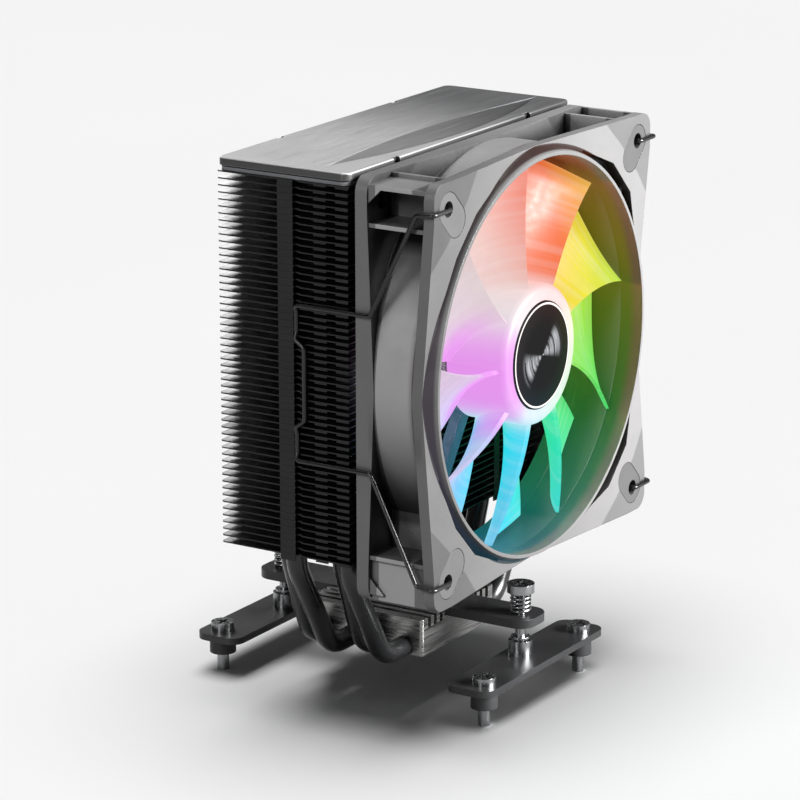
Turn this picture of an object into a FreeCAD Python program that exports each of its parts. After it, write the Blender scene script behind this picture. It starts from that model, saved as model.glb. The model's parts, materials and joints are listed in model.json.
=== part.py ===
import FreeCAD, Part
import math
import os
import Sketcher
from FreeCAD import Placement, Rotation, Vector

# CPU tower cooler with a 120 mm fan, in millimetres.
# Origin: centre of the cold plate's contact face.  +Z points up the tower, the fan is on the -Y side
# and the heat pipes spread along X.

doc = FreeCAD.newDocument("tower_cooler")

# ---------------------------------------------------------------- driving dimensions

DIMENSIONS = {
    "tower_width": 121.0,
    "tower_depth": 43.0,
    "tower_top": 150.0,
    # fins
    "fin_bottom": 39.0,
    "fin_pitch": 1.98,
    "fin_gauge": 0.4,
    "fin_count": 55,
    "fin_corner": 1.0,
    "fin_tab_gap": 0.05,
    "side_tab_width": 5.0,
    "side_tab_middle": -1.0,
    "lip_tab_width": 4.0,
    "lip_tab_height": 0.9,
    "lip_tab_first": -12.3,
    "lip_tab_second": -19.4,
    "face_tab_width": 3.0,
    "face_tab_spacing": 38.0,
    "groove_middle": -4.6,
    "groove_width": 1.7,
    "groove_depth": 0.8,
    # heat pipes
    "pipe_radius": 3.0,
    "pipe_play": 0.03,
    "fin_play": 0.05,
    "pipe_level": 2.2,
    "pipe_pitch": 9.0,
    "pipe_foot_outer": 31.0,
    "pipe_foot_inner": 27.0,
    "pipe_foot_bend": 10.0,
    "pipe_knee_height": 31.0,
    "pipe_knee_bend": 14.0,
    "pipe_leg_outer": 48.0,
    "pipe_leg_inner": 38.0,
    "pipe_shoulder": 147.0,
    "pipe_tip": 148.3,
    "pipe_tip_radius": 1.5,
    # top cover
    "cover_height": 2.2,
    "cover_gauge": 1.2,
    "cover_gap": 0.4,
    "under_gauge": 1.0,
    "under_inset": 0.4,
    "cover_corner": 2.5,
    "cover_edge": 0.6,
    "cover_notch_spacing": 71.0,
    "cover_notch_width": 3.0,
    "cover_notch_depth": 1.3,
    "cover_slot_spacing": 60.0,
    "facet_left": -54.0,
    "facet_right": 58.0,
    "facet_back": -7.0,
    "facet_middle": -11.0,
    "facet_front": -19.3,
    "facet_depth": 0.7,
    "boss_radius": 4.2,
    "boss_lap": 0.3,
    # cold plate
    "base_length": 40.0,
    "base_width": 40.0,
    "base_height": 11.0,
    "base_edge": 1.0,
    "saddle_width": 14.4,
    "saddle_depth": 2.0,
    "ridge_gap": 1.6,
    "ridge_pitch": 3.2,
    "ridge_first": 9.6,
    "ridge_depth": 3.0,
    # bridge and its screws
    "bridge_length": 94.0,
    "bridge_width": 14.0,
    "bridge_gauge": 2.5,
    "bridge_corner": 5.0,
    "screw_reach": 41.0,
    "screw_radius": 1.5,
    "screw_hole": 1.75,
    "screw_tip": -0.5,
    "screw_head_bottom": 18.0,
    "screw_head_radius": 4.0,
    "screw_head_height": 2.6,
    "screw_lap": 0.5,
    "screw_slot_width": 1.0,
    "screw_slot_length": 5.0,
    "screw_slot_depth": 1.6,
    "neck_depth": 0.4,
    "ring_play": 0.02,
    "fixing_reach": 9.0,
    "fixing_radius": 1.2,
    "fixing_hole": 1.25,
    "fixing_head_radius": 2.3,
    "fixing_head_height": 1.2,
    "sink_play": 0.1,
    "fixing_bite": 4.0,
    "fixing_slot_width": 0.6,
    "fixing_slot_length": 2.8,
    "fixing_slot_depth": 0.7,
    "fixing_depth": 5.0,
    "clip_ring_bottom": 4.0,
    "clip_ring_gauge": 0.6,
    "clip_ring_radius": 2.8,
    "spring_coil_radius": 2.7,
    "spring_wire_radius": 0.4,
    "spring_play": 0.05,
    "spring_turns": 4.5,
    # brackets that carry the bridge on the board
    "bar_length": 68.0,
    "bar_width": 15.0,
    "bar_gauge": 2.0,
    "bar_top": -1.0,
    "bar_middle": 43.0,
    "bar_corner": 4.0,
    "board_hole_x": 54.0,
    "board_hole_y": 90.0,
    "bar_hole": 1.95,
    "post_radius": 3.5,
    "post_top": 3.5,
    "post_spigot": 2.5,
    "spigot_play": 0.02,
    "post_bore": 1.56,
    "spacer_radius": 3.9,
    "spacer_height": 5.0,
    "stud_radius": 1.75,
    "stud_neck_radius": 1.82,
    "stud_tip": -13.5,
    "stud_head_radius": 3.4,
    "stud_head_height": 2.2,
    "stud_slot_width": 0.9,
    "stud_slot_length": 4.4,
    "stud_slot_depth": 1.2,
    # fan frame
    "fan_side": 120.0,
    "fan_depth": 25.0,
    "fan_gap": 2.0,
    "fan_height": 89.4,
    "fan_corner": 4.5,
    "fan_bore": 57.0,
    "barrel_radius": 59.8,
    "lip_radius": 58.0,
    "lip_depth": 4.0,
    "front_part_depth": 7.3,
    "rear_part_front": 19.0,
    "plate_gauge": 3.2,
    "rear_plate_extra": 0.6,
    "plate_lap": 0.8,
    "band_half": 7.3,
    "facet_reach": 62.0,
    "opening_lap": 0.3,
    "band_inner": 61.3,
    "front_slope": 0.111,
    "rear_slope": 0.057,
    "screw_spacing": 105.0,
    "frame_hole": 2.2,
    "web_gauge": 1.2,
    "web_start": 34.0,
    "web_inner": 47.0,
    "web_outer": 57.6,
    "web_end": 59.4,
    "brace_size": 6.0,
    "pad_radius": 4.7,
    "pad_length": 5.4,
    "pad_play": 0.12,
    "pad_recess": 1.5,
    "pad_lift": 0.05,
    "strut_width": 4.0,
    "strut_depth": 3.4,
    "strut_skew": 14.0,
    "strut_start": 20.0,
    "strut_root": 16.0,
    "mount_disc": 20.0,
    "mount_disc_depth": 4.0,
    "tube_radius": 5.5,
    "tube_front": 8.0,
    "tube_end": 23.4,
    "board_shelf": 8.0,
    "board_shelf_gauge": 3.0,
    "notch_width": 7.0,
    "notch_start": 26.0,
    "notch_depth": 2.4,
    "label_radius": 15.8,
    "label_play": 0.2,
    "label_gauge": 0.2,
    "label_recess": 0.3,
    # rotor
    "hub_radius": 20.4,
    "hub_wall": 1.4,
    "hub_front": 1.4,
    "hub_rear": 20.2,
    "hub_floor": 3.8,
    "hub_edge": 2.4,
    "disc_radius": 15.6,
    "disc_bevel": 0.4,
    "disc_recess": 15.75,
    "disc_front": 1.0,
    "disc_seat": 2.3,
    "blade_count": 9,
    "blade_camber": 0.1,
    "blade_edge": 0.35,
    "blade_peak": 0.45,
    "blade_tip": 55.6,
    "blade_front": 3.0,
    "blade_rear": 20.0,
    "yoke_radius": 18.95,
    "yoke_gauge": 1.0,
    "yoke_play": 0.01,
    "yoke_front": 3.85,
    "yoke_rear": 17.5,
    "yoke_boss": 3.5,
    "yoke_boss_rear": 7.5,
    "magnet_inner": 15.6,
    "magnet_outer": 17.9,
    "magnet_front": 5.5,
    "magnet_rear": 16.5,
    "shaft_radius": 1.5,
    "shaft_neck": 22.1,
    "shaft_neck_radius": 1.2,
    "shaft_bevel": 0.25,
    "shaft_ring_radius": 2.50,
    "shaft_ring_gauge": 0.4,
    "shaft_ring_mouth": 1.8,
    "shaft_neck_end": 22.55,
    "shaft_rear": 23.0,
    # bearing and stator
    "sleeve_radius": 3.98,
    "sleeve_play": 0.02,
    "sleeve_bore": 1.53,
    "sleeve_front": 8.6,
    "sleeve_rear": 21.9,
    "seal_bore": 1.7,
    "seal_play": 0.05,
    "core_radius": 15.0,
    "core_bore": 5.55,
    "core_ring": 8.0,
    "core_front": 8.4,
    "core_height": 6.0,
    "core_arm": 4.0,
    "core_shoe": 13.0,
    "core_span": 27.0,
    "core_slot": 3.0,
    "coil_start": 8.3,
    "coil_length": 3.9,
    "coil_width": 8.4,
    "coil_over": 1.8,
    "coil_round": 1.2,
    "coil_play": 0.05,
    "board_radius": 17.0,
    "board_front": 18.2,
    "board_gauge": 1.2,
    "lamp_size": 2.0,
    "lamp_height": 0.8,
    "lamp_circle": 13.0,
    "lamp_count": 6,
    # fan clips
    "wire_radius": 0.65,
    "wire_bend": 1.3,
    "wire_tight_bend": 1.0,
    "wire_lap": 0.8,
    "wire_lead": 4.8,
    "wire_drop": 0.5,
    "wire_side": 61.35,
    "wire_seat": 60.6,
    "wire_knee": 22.2,
    "wire_knee_depth": 19.6,
    "wire_grip": 12.5,
    "wire_grip_offset": 2.9,
    "wire_step": 2.0,
    "wire_hook": 3.2,
}

sheet = doc.addObject("Spreadsheet::Sheet", "Sizes")
for row, (alias, value) in enumerate(DIMENSIONS.items(), start=1):
    sheet.set(f"A{row}", alias)
    sheet.set(f"B{row}", str(value))
    sheet.setAlias(f"B{row}", alias)
doc.recompute()


def size(alias):
    """The value of one cell of the sheet."""
    return float(getattr(sheet, alias))


def cell(formula):
    """A formula in aliases, such as 'fin_pitch - fin_gauge', as the document's own expression."""
    words = []
    for word in formula.replace("(", " ( ").replace(")", " ) ").split():
        words.append(f"Sizes.{word}" if word in DIMENSIONS else word)
    return " ".join(words)


# ---------------------------------------------------------------- helpers

# The fan's own frame: X to the right, Y down, Z from its front face towards the fins.
FAN_FRONT = -size("tower_depth") / 2 - size("fan_gap") - size("fan_depth")
IN_FAN = Placement(Vector(0, FAN_FRONT, size("fan_height")), Rotation(Vector(1, 0, 0), -90))
HERE = Placement()
ALONG = {
    "x": Rotation(Vector(0, 1, 0), 90),
    "y": Rotation(Vector(1, 0, 0), -90),
    "z": Rotation(),
}
pieces = {}


def keep(item, label, place=HERE):
    """Names a finished sub-part and puts it in its place."""
    item.Label = label
    item.Placement = place
    pieces[label] = item
    return item


def locate(item, at, turn="z"):
    item.Placement = Placement(Vector(), ALONG[turn])
    for axis, formula in zip("xyz", at):
        item.setExpression(f"Placement.Base.{axis}", cell(formula))


def block(name, sizes, corner):
    """A box from its three sizes and its lowest corner, all formulas."""
    item = doc.addObject("Part::Box", name)
    for side, formula in zip(("Length", "Width", "Height"), sizes):
        item.setExpression(side, cell(formula))
    locate(item, corner)
    return item


def rod(name, radius, height, at=("0", "0", "0"), turn="z"):
    item = doc.addObject("Part::Cylinder", name)
    item.setExpression("Radius", cell(radius))
    item.setExpression("Height", cell(height))
    locate(item, at, turn)
    return item


def taper(name, radius_low, radius_high, height, at=("0", "0", "0")):
    item = doc.addObject("Part::Cone", name)
    item.setExpression("Radius1", cell(radius_low))
    item.setExpression("Radius2", cell(radius_high))
    item.setExpression("Height", cell(height))
    locate(item, at)
    return item


def join(name, items):
    item = doc.addObject("Part::MultiFuse", name)
    item.Shapes = items
    item.Refine = True
    return item


def cut(name, base, tools):
    item = doc.addObject("Part::Cut", name)
    item.Base = base
    item.Tool = tools[0] if len(tools) == 1 else join(f"{name}_tools", tools)
    item.Refine = True
    return item


def overlap(name, base, tool):
    item = doc.addObject("Part::Common", name)
    item.Base = base
    item.Tool = tool
    return item


def plain(name, shape):
    """A feature that holds a ready shape, free of any placement of its own."""
    item = doc.addObject("Part::Feature", name)
    item.Shape = shape if shape.Placement.isIdentity() else Part.Compound([shape])
    return item


def copies(name, source, places):
    """The same shape at several places, as one compound."""
    doc.recompute()
    return plain(name, Part.Compound([source.Shape.transformed(place.toMatrix()) for place in places]))


def turns(count, start=0.0):
    """Places evenly spaced round the Z axis."""
    return [Placement(Vector(), Rotation(Vector(0, 0, 1), start + 360.0 * k / count)) for k in range(count)]


def corners(spacing_x, spacing_y, height=0.0):
    """The four places of a rectangular pattern."""
    return [
        Placement(Vector(sx * spacing_x / 2, sy * spacing_y / 2, height), Rotation())
        for sx in (-1, 1)
        for sy in (-1, 1)
    ]


def new_body(name):
    return doc.addObject("PartDesign::Body", name)


def sketch_in(body, role, height=None):
    """A sketch on one of the body's own origin planes, lifted along its normal."""
    plane = next(item for item in body.Origin.OriginFeatures if item.Role == role)
    sketch = body.newObject("Sketcher::SketchObject", f"{body.Name}_sketch")
    sketch.AttachmentSupport = [(plane, "")]
    sketch.MapMode = "FlatFace"
    if height is not None:
        sketch.setExpression("AttachmentOffset.Base.z", cell(height))
    return sketch


def set_point(sketch, edge, point, at, spot):
    """Ties a point of the sketch to two formulas."""
    for kind, formula, start in zip(("DistanceX", "DistanceY"), at, spot):
        index = sketch.addConstraint(Sketcher.Constraint(kind, -1, 1, edge, point, start))
        sketch.setExpression(f"Constraints[{index}]", cell(formula))


def outline(sketch, points):
    """A closed outline of straight edges through points given as formulas."""
    count = len(points)
    spots = [(math.cos(2 * math.pi * k / count), math.sin(2 * math.pi * k / count)) for k in range(count)]
    first = sketch.GeometryCount
    for k in range(count):
        start = Vector(*spots[k], 0)
        end = Vector(*spots[(k + 1) % count], 0)
        sketch.addGeometry(Part.LineSegment(start, end), False)
    for k in range(count):
        sketch.addConstraint(Sketcher.Constraint("Coincident", first + k, 2, first + (k + 1) % count, 1))
    for k, (at, spot) in enumerate(zip(points, spots)):
        set_point(sketch, first + k, 1, at, spot)


def rectangle(sketch, width, depth, middle=("0", "0")):
    x, y = middle
    left, right = f"{x} - ( {width} ) / 2", f"{x} + ( {width} ) / 2"
    low, high = f"{y} - ( {depth} ) / 2", f"{y} + ( {depth} ) / 2"
    outline(sketch, [(left, low), (right, low), (right, high), (left, high)])


def disc(sketch, radius, middle=("0", "0")):
    index = sketch.addGeometry(Part.Circle(Vector(1, 1, 0), Vector(0, 0, 1), 1), False)
    set_point(sketch, index, 3, middle, (1.0, 1.0))
    tie = sketch.addConstraint(Sketcher.Constraint("Radius", index, 1.0))
    sketch.setExpression(f"Constraints[{tie}]", cell(radius))


def pad(body, sketch, length):
    item = body.newObject("PartDesign::Pad", f"{body.Name}_pad")
    item.Profile = sketch
    item.setExpression("Length", cell(length))
    return item


def pocket(body, sketch, length, upwards=False):
    """Takes material out below the sketch, or above it."""
    doc.recompute()
    before = body.Shape.Volume
    item = body.newObject("PartDesign::Pocket", f"{body.Name}_pocket")
    item.Profile = sketch
    item.Reversed = upwards
    item.setExpression("Length", cell(length))
    doc.recompute()
    if body.Shape.Volume >= before - 1e-6:
        raise ValueError(f"a pocket of {body.Name} takes nothing out")
    return item


def turned(name, points):
    """A body turned about Z from an outline of (radius, height) formulas."""
    body = new_body(name)
    sketch = sketch_in(body, "XZ_Plane")
    outline(sketch, points)
    item = body.newObject("PartDesign::Revolution", f"{name}_turn")
    item.Profile = sketch
    item.ReferenceAxis = (sketch, ["V_Axis"])
    item.Angle = 360.0
    return body


def soften(body, radius, wanted):
    """Rounds the edges of a body that a test picks out."""
    doc.recompute()
    base = body.Tip
    names = [f"Edge{k}" for k, edge in enumerate(base.Shape.Edges, start=1) if wanted(edge)]
    item = body.newObject("PartDesign::Fillet", f"{body.Name}_fillet")
    item.Base = (base, names)
    item.setExpression("Radius", cell(radius))
    return item


def upright(edge):
    """True for a straight edge along Z."""
    ends = edge.Vertexes
    if len(ends) != 2:
        return False
    run = ends[1].Point - ends[0].Point
    return abs(run.x) + abs(run.y) < 1e-6 < abs(run.z)


def level_at(height):
    """A test for edges that lie in one level plane."""
    def wanted(edge):
        box = edge.BoundBox
        return abs(box.ZMin - height) < 1e-6 and abs(box.ZMax - height) < 1e-6
    return wanted


def bent_path(points, bends):
    """Straight runs through the points, joined by tangent arcs of the given radii."""
    edges = []
    start = points[0]
    for before, corner, after, bend in zip(points, points[1:], points[2:], bends):
        arriving = (corner - before).normalize()
        leaving = (after - corner).normalize()
        turn = arriving.getAngle(leaving)
        setback = bend * math.tan(turn / 2)
        middle_reach = bend / math.cos(turn / 2) - bend
        inward = (leaving - arriving).normalize()
        arc_start = corner - arriving * setback
        arc_end = corner + leaving * setback
        arc_middle = corner + inward * middle_reach
        if (arc_start - start).Length > 1e-6:
            edges.append(Part.LineSegment(start, arc_start).toShape())
        edges.append(Part.Arc(arc_start, arc_middle, arc_end).toShape())
        start = arc_end
    edges.append(Part.LineSegment(start, points[-1]).toShape())
    return Part.Wire(edges)


def coil_path(radius, height, turn_count, steps=6):
    """A coil about Z as a chain of arcs, a few to each turn, all of them on the helix."""
    def spot(turn):
        angle = 2 * math.pi * turn
        return Vector(radius * math.cos(angle), radius * math.sin(angle), height * turn / turn_count)

    edges = []
    for k in range(round(turn_count * steps)):
        start, middle, end = (k / steps, (k + 0.5) / steps, (k + 1) / steps)
        edges.append(Part.Arc(spot(start), spot(middle), spot(end)).toShape())
    return Part.Wire(edges)


def tube_along(path, radius):
    """A round solid along a path, checked against its section times its length."""
    first = path.Edges[0]
    start = first.valueAt(first.FirstParameter)
    direction = first.tangentAt(first.FirstParameter)
    ring = Part.Wire([Part.makeCircle(radius, start, direction)])
    solid = path.makePipeShell([ring], True, False)
    expected = math.pi * radius ** 2 * path.Length
    if abs(solid.Volume - expected) > 0.01 * expected:
        raise ValueError("a bent rod has the wrong volume")
    return solid


def cross_slot(name, width, length, depth, top):
    """The cross recess of a screw head, centred on Z and cut down from its top."""
    arms = [
        block(f"{name}_a", (width, length, depth), (f"- {width} / 2", f"- {length} / 2", f"{top} - {depth}")),
        block(f"{name}_b", (length, width, depth), (f"- {length} / 2", f"- {width} / 2", f"{top} - {depth}")),
    ]
    return arms


# ---------------------------------------------------------------- cold plate

def make_cold_plate():
    body = new_body("plate_block")
    sketch = sketch_in(body, "XY_Plane")
    rectangle(sketch, "base_length", "base_width")
    pad(body, sketch, "base_height")
    soften(body, "base_edge", upright)
    saddle = sketch_in(body, "XY_Plane", "base_height")
    rectangle(saddle, "saddle_width", "base_width + 2")
    pocket(body, saddle, "saddle_depth")
    ridges = sketch_in(body, "XY_Plane", "base_height")
    for side in ("-", "+"):
        for k in range(3):
            middle = f"{side} ( ridge_first + {k} * ridge_pitch )"
            rectangle(ridges, "ridge_gap", "base_width + 2", (f"0 {middle}", "0"))
    pocket(body, ridges, "ridge_depth")
    holes = sketch_in(body, "XY_Plane", "base_height - saddle_depth")
    for side in ("-", "+"):
        disc(holes, "fixing_hole", ("0", f"0 {side} fixing_reach"))
    pocket(body, holes, "fixing_depth")
    channels = [
        rod(
            f"pipe_channel_{k}",
            "pipe_radius + pipe_play",
            "base_length + 4",
            ("- base_length / 2 - 2", f"{k - 1.5} * pipe_pitch", "pipe_level"),
            "x",
        )
        for k in range(4)
    ]
    keep(cut("plate_with_channels", body, channels), "cold_plate")


# ---------------------------------------------------------------- heat pipes

PIPES = {
    "heat_pipe_1": (-1.5, "pipe_leg_outer", "pipe_foot_outer"),
    "heat_pipe_2": (-0.5, "pipe_leg_inner", "pipe_foot_inner"),
    "heat_pipe_3": (0.5, "pipe_leg_outer", "pipe_foot_outer"),
    "heat_pipe_4": (1.5, "pipe_leg_inner", "pipe_foot_inner"),
}


def make_heat_pipe(label, step, leg_alias, foot_alias):
    leg = size(leg_alias)
    foot = size(foot_alias)
    side = [
        Vector(leg, 0, size("pipe_shoulder")),
        Vector(leg, 0, size("pipe_knee_height")),
        Vector(foot, 0, size("pipe_level")),
    ]
    other = [Vector(-p.x, 0, p.z) for p in reversed(side)]
    bends = [size("pipe_knee_bend"), size("pipe_foot_bend"), size("pipe_foot_bend"), size("pipe_knee_bend")]
    run = plain(f"{label}_run", tube_along(bent_path(side + other, bends), size("pipe_radius")))
    tips = [
        taper(
            f"{label}_tip_{end}",
            "pipe_radius",
            "pipe_tip_radius",
            "pipe_tip - pipe_shoulder",
            (f"0 {sign} {leg_alias}", "0", "pipe_shoulder"),
        )
        for end, sign in (("left", "-"), ("right", "+"))
    ]
    whole = join(f"{label}_whole", [run] + tips)
    below = block(
        f"{label}_below",
        ("2 * pipe_leg_outer", "4 * pipe_radius", "pipe_radius"),
        ("- pipe_leg_outer", "-2 * pipe_radius", "- pipe_radius"),
    )
    place = Placement(Vector(0, step * size("pipe_pitch"), 0), Rotation())
    keep(cut(f"{label}_flattened", whole, [below]), label, place)


# ---------------------------------------------------------------- fins and cover

def pipe_bores(name, radius, height, bottom):
    """One upright cylinder on each pipe leg."""
    tools = []
    for label, (step, leg, foot) in PIPES.items():
        for end, sign in (("left", "-"), ("right", "+")):
            at = (f"0 {sign} {leg}", f"{step} * pipe_pitch", bottom)
            tools.append(rod(f"{name}_{label}_{end}", radius, height, at))
    return tools


def make_fins():
    sheet_metal = new_body("fin_sheet")
    sketch = sketch_in(sheet_metal, "XY_Plane")
    rectangle(sketch, "tower_width", "tower_depth")
    pad(sheet_metal, sketch, "fin_gauge")
    soften(sheet_metal, "fin_corner", lambda edge: upright(edge) and edge.BoundBox.YMin > 0)
    sheet_metal.setExpression("Placement.Base.z", cell("fin_bottom"))
    tab_height = "fin_pitch - fin_tab_gap"
    tab_bottom = "fin_bottom + fin_gauge - fin_pitch + fin_tab_gap"
    tabs = []
    rows = (
        ("side", "side_tab_width", "side_tab_middle", tab_height),
        ("lip_a", "lip_tab_width", "lip_tab_first", "lip_tab_height"),
        ("lip_b", "lip_tab_width", "lip_tab_second", "lip_tab_height"),
    )
    for name, width, middle, height in rows:
        for end, corner in (("left", "- tower_width / 2"), ("right", "tower_width / 2 - fin_gauge")):
            tabs.append(
                block(
                    f"fin_tab_{name}_{end}",
                    ("fin_gauge", width, height),
                    (corner, f"{middle} - {width} / 2", f"fin_bottom + fin_gauge - ( {height} )"),
                )
            )
    for side, corner in (("front", "- tower_depth / 2"), ("back", "tower_depth / 2 - fin_gauge")):
        for sign in ("-", "+"):
            start = f"0 {sign} face_tab_spacing / 2 - face_tab_width / 2"
            name = f"fin_tab_{side}_{'left' if sign == '-' else 'right'}"
            tabs.append(block(name, ("face_tab_width", "fin_gauge", tab_height), (start, corner, tab_bottom)))
    grooves = [
        block(
            f"fin_groove_{end}",
            ("groove_depth + 1", "groove_width", "fin_pitch + 2"),
            (corner, "groove_middle - groove_width / 2", "fin_bottom - fin_pitch"),
        )
        for end, corner in (("left", "- tower_width / 2 - 1"), ("right", "tower_width / 2 - groove_depth"))
    ]
    bores = pipe_bores("fin_bore", "pipe_radius + fin_play", "fin_pitch + 2", "fin_bottom - 1")
    fin = cut("fin", join("fin_folded", [sheet_metal] + tabs), grooves + bores)
    lifts = [
        Placement(Vector(0, 0, k * size("fin_pitch")), Rotation())
        for k in range(int(size("fin_count")))
    ]
    keep(copies("fin_pack", fin, lifts), "fin_stack")


def make_cover():
    under = new_body("under_sheet")
    sketch = sketch_in(under, "XY_Plane")
    rectangle(sketch, "tower_width - 2 * under_inset", "tower_depth - 2 * under_inset")
    pad(under, sketch, "under_gauge")
    soften(under, "cover_corner", upright)
    bottom = "tower_top - cover_height - cover_gap - under_gauge"
    lift = size("tower_top") - size("cover_height") - size("cover_gap") - size("under_gauge")
    under.Placement = Placement(Vector(0, 0, lift), Rotation())
    bores = pipe_bores("under_bore", "pipe_radius + fin_play", "under_gauge + 2", f"{bottom} - 1")
    keep(cut("under_bored", under, bores), "cover_plate")

    shell = new_body("cover_shell")
    shell_sketch = sketch_in(shell, "XY_Plane")
    rectangle(shell_sketch, "tower_width", "tower_depth")
    pad(shell, shell_sketch, "cover_height")
    soften(shell, "cover_corner", upright)
    soften(shell, "cover_edge", level_at(size("cover_height")))
    hollow = sketch_in(shell, "XY_Plane")
    rectangle(hollow, "tower_width - 2 * cover_gauge", "tower_depth - 2 * cover_gauge")
    pocket(shell, hollow, "cover_height - cover_gauge", upwards=True)
    notches = sketch_in(shell, "XY_Plane")
    for sign in ("-", "+"):
        rectangle(
            notches,
            "cover_notch_width",
            "2 * cover_notch_depth",
            (f"0 {sign} cover_notch_spacing / 2", "- tower_depth / 2"),
        )
        rectangle(
            notches,
            "cover_notch_width",
            "2 * cover_notch_depth",
            (f"0 {sign} cover_slot_spacing / 2", "tower_depth / 2"),
        )
    pocket(shell, notches, "cover_height", upwards=True)
    lift = size("tower_top") - size("cover_height")
    shell.Placement = Placement(Vector(0, 0, lift), Rotation())

    back = Part.Arc(
        Vector(size("facet_left"), size("facet_middle"), 0),
        Vector(0, size("facet_back"), 0),
        Vector(size("facet_right"), size("facet_middle"), 0),
    ).toShape()
    front = Part.Arc(
        Vector(size("facet_right"), size("facet_middle"), 0),
        Vector(0, size("facet_front"), 0),
        Vector(size("facet_left"), size("facet_middle"), 0),
    ).toShape()
    room = size("tower_width")
    lens = Part.Face(Part.Wire([back, front])).extrude(Vector(0, 0, 2 * size("cover_height")))
    lens.translate(Vector(0, 0, size("tower_top") - size("cover_height")))
    run = size("facet_back") - size("facet_front")
    slope = math.degrees(math.atan2(size("facet_depth"), run))
    slab = Part.makeBox(2 * room, room, room, Vector(-room, -room, 0))
    hinge = Vector(0, size("facet_back"), size("tower_top"))
    slab.Placement = Placement(hinge, Rotation(Vector(1, 0, 0), slope))
    facet = plain("cover_facet", lens.common(slab))
    socket_height = "cover_height - cover_gauge + boss_lap"
    socket_bottom = "tower_top - cover_height"
    sockets = pipe_bores("cover_boss", "boss_radius", socket_height, socket_bottom)
    wells = pipe_bores("cover_well", "pipe_radius + fin_play", "cover_height - cover_gauge", socket_bottom)
    keep(cut("cover_finished", join("cover_with_bosses", [shell] + sockets), wells + [facet]), "top_cover")


# ---------------------------------------------------------------- bridge, screws and brackets

def make_bridge():
    body = new_body("bridge_bar")
    sketch = sketch_in(body, "XY_Plane")
    rectangle(sketch, "bridge_width", "bridge_length")
    pad(body, sketch, "bridge_gauge")
    soften(body, "bridge_corner", upright)
    holes = sketch_in(body, "XY_Plane", "bridge_gauge")
    for sign in ("-", "+"):
        disc(holes, "screw_hole", ("0", f"0 {sign} screw_reach"))
        disc(holes, "fixing_hole", ("0", f"0 {sign} fixing_reach"))
    pocket(body, holes, "bridge_gauge")
    sinks = sketch_in(body, "XY_Plane", "bridge_gauge")
    for sign in ("-", "+"):
        disc(sinks, "fixing_head_radius + sink_play", ("0", f"0 {sign} fixing_reach"))
    pocket(body, sinks, "fixing_head_height")
    height = size("base_height") - size("saddle_depth")
    keep(body, "mounting_bridge", Placement(Vector(0, 0, height), Rotation()))

    top = "base_height - saddle_depth + bridge_gauge"
    at = ("0", "0", f"{top} - fixing_head_height")
    head = rod("fixing_head", "fixing_head_radius", "fixing_head_height", at)
    length = "bridge_gauge + fixing_bite"
    shank = rod("fixing_shank", "fixing_radius", length, ("0", "0", f"{top} - ( {length} )"))
    slots = cross_slot("fixing_cross", "fixing_slot_width", "fixing_slot_length", "fixing_slot_depth", top)
    screw = cut("fixing_screw", join("fixing_blank", [head, shank]), slots)
    places = [Placement(Vector(0, sign * size("fixing_reach"), 0), Rotation()) for sign in (-1, 1)]
    keep(copies("fixing_pair", screw, places), "bridge_screws")


def make_spring_screw(side, sign):
    """A captive screw, its spring and the ring that holds it on the bridge."""
    place = Placement(Vector(0, sign * size("screw_reach"), 0), Rotation())
    length = "screw_head_bottom - screw_tip + screw_lap"
    shank = rod(f"shank_{side}", "screw_radius", length, ("0", "0", "screw_tip"))
    head = rod(f"head_{side}", "screw_head_radius", "screw_head_height", ("0", "0", "screw_head_bottom"))
    top = "screw_head_bottom + screw_head_height"
    slots = cross_slot(f"cross_{side}", "screw_slot_width", "screw_slot_length", "screw_slot_depth", top)
    at = ("0", "0", "clip_ring_bottom")
    slots.append(rod(f"neck_{side}_gap", "screw_radius + 1", "clip_ring_gauge", at))
    core = rod(f"neck_{side}_core", "screw_radius - neck_depth", "clip_ring_gauge", at)
    blank = cut(f"screw_cut_{side}", join(f"screw_blank_{side}", [shank, head]), slots)
    keep(join(f"screw_{side}", [blank, core]), f"spring_screw_{side}", place)

    disc_part = rod(f"ring_disc_{side}", "clip_ring_radius", "clip_ring_gauge", at)
    hole = rod(f"ring_hole_{side}", "screw_radius - neck_depth + ring_play", "clip_ring_gauge", at)
    mouth = block(
        f"ring_mouth_{side}",
        ("clip_ring_radius", "2 * screw_radius - 2 * neck_depth", "clip_ring_gauge"),
        ("0", "neck_depth - screw_radius", "clip_ring_bottom"),
    )
    keep(cut(f"ring_{side}", disc_part, [hole, mouth]), f"screw_clip_{side}", place)

    end = size("spring_wire_radius") + size("spring_play")
    low = size("base_height") - size("saddle_depth") + size("bridge_gauge") + end
    high = size("screw_head_bottom") - end
    path = coil_path(size("spring_coil_radius"), high - low, size("spring_turns"))
    spring = tube_along(path, size("spring_wire_radius"))
    spring.translate(Vector(0, 0, low))
    keep(plain(f"coil_{side}", spring), f"screw_spring_{side}", place)


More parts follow.
